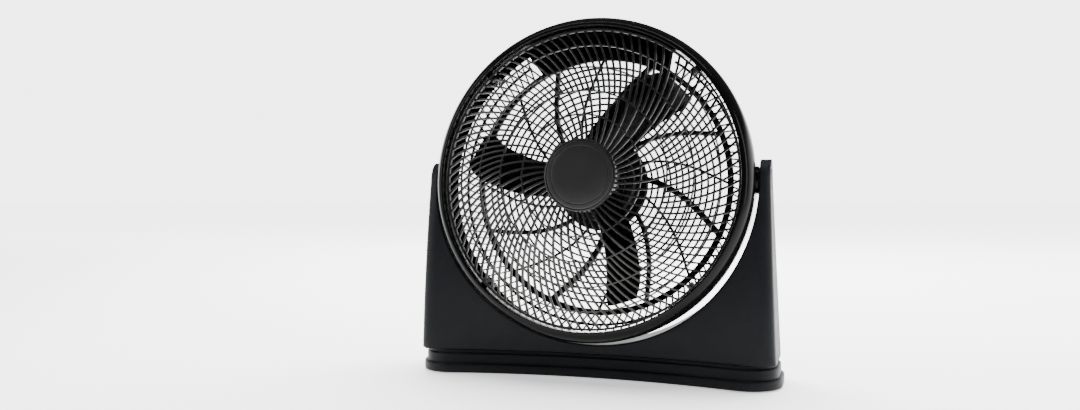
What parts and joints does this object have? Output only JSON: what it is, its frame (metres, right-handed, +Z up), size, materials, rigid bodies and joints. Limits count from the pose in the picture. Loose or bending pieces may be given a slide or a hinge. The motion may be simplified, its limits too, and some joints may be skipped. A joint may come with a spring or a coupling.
{
  "type": "pivoting floor fan",
  "caption": "Round-headed floor fan with a spiral front grille and swept blades, its drum pivoting between the uprights of a wide stepped yoke base.",
  "frame": {"origin": "on the floor under the middle of the bounding box", "axes": "+X across the fan, to the right of someone facing its front, +Y to the back, +Z up; the fan faces -Y"},
  "size_m": [0.551, 0.1912, 0.5359],
  "materials": {
    "base_plastic": "satin black moulded plastic with a fine grain",
    "drum_plastic": "semi-gloss black moulded plastic",
    "grille_plastic": "satin dark grey moulded plastic",
    "blade_plastic": "glossy black moulded plastic",
    "housing_plastic": "matt black moulded plastic",
    "rubber": "matt black rubber",
    "steel": "zinc-plated steel",
    "nylon": "black nylon",
    "core_steel": "laminated steel",
    "winding": "enamelled copper wire",
    "bronze": "sintered bronze"
  },
  "bodies": {
    "base": {"base_body": "base_plastic", "base_rear_cover": "base_plastic", "foot_plinth": "base_plastic", "rubber_foot_1": "rubber", "rubber_foot_2": "rubber", "rubber_foot_3": "rubber", "rubber_foot_4": "rubber", "rear_cover_screw_1": "steel", "rear_cover_screw_2": "steel", "rear_cover_screw_3": "steel", "rear_cover_screw_4": "steel", "foot_screw_1": "steel", "foot_screw_2": "steel", "foot_screw_3": "steel", "foot_screw_4": "steel", "pivot_bush_left": "nylon", "pivot_bush_right": "nylon", "pivot_cap_left": "base_plastic", "pivot_cap_right": "base_plastic"},
    "head": {"drum": "drum_plastic", "front_grille": "grille_plastic", "badge": "grille_plastic", "rear_grille": "drum_plastic", "carry_handle": "drum_plastic", "grille_screw_1": "steel", "grille_screw_2": "steel", "grille_screw_3": "steel", "grille_screw_4": "steel", "rear_grille_screw_1": "steel", "rear_grille_screw_2": "steel", "rear_grille_screw_3": "steel", "rear_grille_screw_4": "steel", "pivot_screw_left": "steel", "pivot_screw_right": "steel", "motor_mount": "housing_plastic", "motor_front_housing": "housing_plastic", "motor_rear_housing": "housing_plastic", "motor_rear_cover": "housing_plastic", "stator_core": "core_steel", "stator_winding_front": "winding", "stator_winding_rear": "winding", "bearing_front": "bronze", "bearing_rear": "bronze", "capacitor": "housing_plastic", "switch_body": "nylon", "cord_gland": "rubber", "motor_screw_1": "steel", "motor_screw_2": "steel", "motor_screw_3": "steel", "motor_screw_4": "steel"},
    "rotor": {"rotor_shaft": "steel", "rotor_core": "core_steel", "fan_blades": "blade_plastic", "drive_pin": "steel", "blade_nut": "blade_plastic"},
    "knob": {"speed_knob": "housing_plastic"}
  },
  "joints": [
    {"name": "head_tilt", "type": "hinge", "parent": "base", "child": "head", "pos_m": [0, -0.00502, 0.2936], "axis": [-1, 0, 0], "range_deg": [-36, 84]},
    {"name": "rotor_spin", "type": "hinge", "parent": "head", "child": "rotor", "pos_m": [0, -0.00502, 0.2936], "axis": [0, 0.9946, -0.1038], "continuous": true},
    {"name": "speed_knob_turn", "type": "hinge", "parent": "head", "child": "knob", "pos_m": [0, 0.08449, 0.28425], "axis": [0, 0.9946, -0.1038], "range_deg": [0, 135]}
  ]
}
